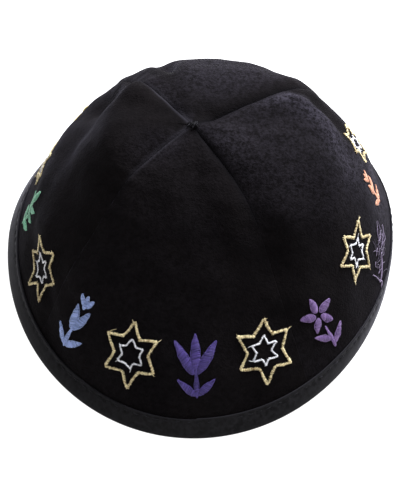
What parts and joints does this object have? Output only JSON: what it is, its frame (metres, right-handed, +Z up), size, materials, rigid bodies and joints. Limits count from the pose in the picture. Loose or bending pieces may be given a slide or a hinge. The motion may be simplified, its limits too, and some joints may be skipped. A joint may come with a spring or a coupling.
{
  "type": "kippah skullcap",
  "caption": "Brimless cloth skullcap of sewn velvet gores, with its rim bound in folded tape, open below to sit on the crown of a head.",
  "frame": {"origin": "on the ground under the middle of the rim's box, so that the cap stands on z = 0", "axes": "+Z up through the crown, -Y towards the front of the cap, +X to the cap's right as the picture shows it"},
  "size_m": [0.1732, 0.1852, 0.0741],
  "materials": {
    "velvet": "deep black velvet with a short pile and a soft grey-violet sheen",
    "binding_tape": "charcoal woven tape, smooth and matt, with a fine slanted grain"
  },
  "bodies": {
    "root": {"gore_front": "velvet", "gore_right": "velvet", "gore_back": "velvet", "gore_left": "velvet", "rim_binding": "binding_tape"}
  },
  "joints": []
}
